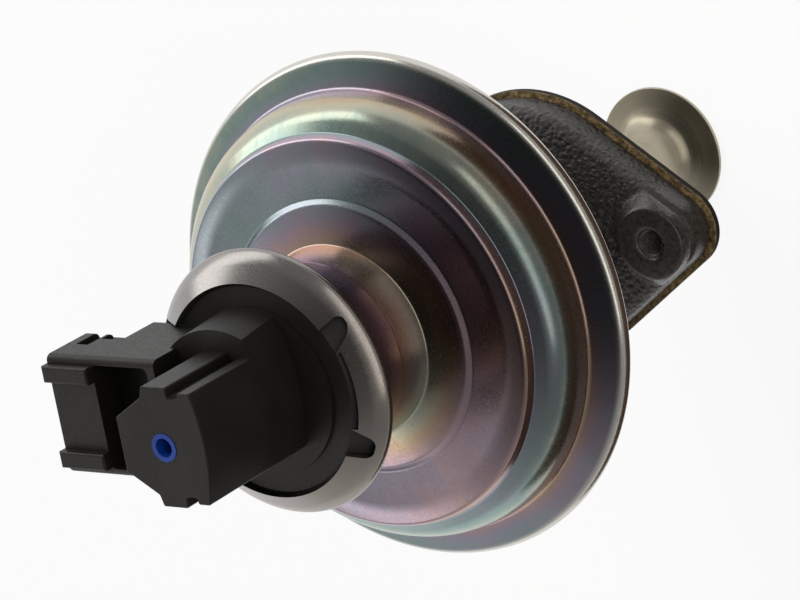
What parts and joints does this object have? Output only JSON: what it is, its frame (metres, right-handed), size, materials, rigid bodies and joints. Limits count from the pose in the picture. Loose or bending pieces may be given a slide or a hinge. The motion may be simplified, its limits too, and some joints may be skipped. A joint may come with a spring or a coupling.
{
  "type": "exhaust gas recirculation valve",
  "caption": "Vacuum operated engine valve: poppet on a stem, cast flange body, pressed diaphragm can with a rolled rim and a plug-in position sensor crimped on top.",
  "frame": {"origin": "centre of the mounting face under the flange gasket, on the valve stem's axis", "axes": "+Z along the stem, from the valve head towards the position sensor; +X along the flange's long axis; the electrical connector points to -X"},
  "size_m": [0.09, 0.09, 0.1509],
  "materials": {
    "cast_iron": "dark grey sand casting, machined faces",
    "gasket_fibre": "pressed fibre sheet",
    "zinc_plate": "pressed steel, zinc plated with iridescent passivation",
    "turned_steel": "turned heat resistant steel",
    "plain_steel": "zinc plated steel",
    "sintered_steel": "sintered, oil dark",
    "spring_steel": "drawn spring wire",
    "diaphragm_rubber": "fabric reinforced rubber",
    "seal_rubber": "moulded rubber",
    "seal_ptfe": "graphite filled",
    "housing_plastic": "glass filled, satin black",
    "slider_plastic": "natural",
    "sleeve_blue": "blue moulding",
    "track_ceramic": "thick film resistor board",
    "contact_bronze": "contact spring",
    "terminal_tin": "tin plated"
  },
  "bodies": {
    "housing": {"flange_gasket": "gasket_fibre", "flange_body": "cast_iron", "deposit_shield": "turned_steel", "guide_bush": "sintered_steel", "stem_seal": "seal_ptfe", "insulating_gasket": "gasket_fibre", "lower_housing": "zinc_plate", "seal_retainer": "plain_steel", "housing_screws": "plain_steel", "diaphragm": "diaphragm_rubber", "main_spring": "spring_steel", "upper_cover": "zinc_plate", "sensor_housing": "housing_plastic", "port_sleeve": "sleeve_blue", "sensor_seal": "seal_rubber", "terminals": "terminal_tin", "track_board": "track_ceramic", "plunger_guide": "housing_plastic", "plunger_spring": "spring_steel"},
    "valve": {"valve_stem": "turned_steel", "valve_head": "turned_steel", "stop_collar": "turned_steel", "lower_plate": "plain_steel", "upper_plate": "plain_steel", "stem_nut": "plain_steel"},
    "plunger": {"plunger": "slider_plastic", "slider": "slider_plastic", "wiper": "contact_bronze"}
  },
  "joints": [
    {"name": "valve_lift", "type": "slide", "parent": "housing", "child": "valve", "axis": [0, 0, 1], "range_m": [0, 0.0085], "stiffness_N_per_m": 2000, "springref_m": -0.002, "deforming": ["main_spring", "diaphragm"]},
    {"name": "plunger_slide", "type": "slide", "parent": "housing", "child": "plunger", "axis": [0, 0, 1], "range_m": [0, 0.0085], "deforming": ["plunger_spring"]}
  ],
  "couplings": [
    {"joint": "plunger_slide", "follows": "valve_lift", "ratio": 1}
  ]
}
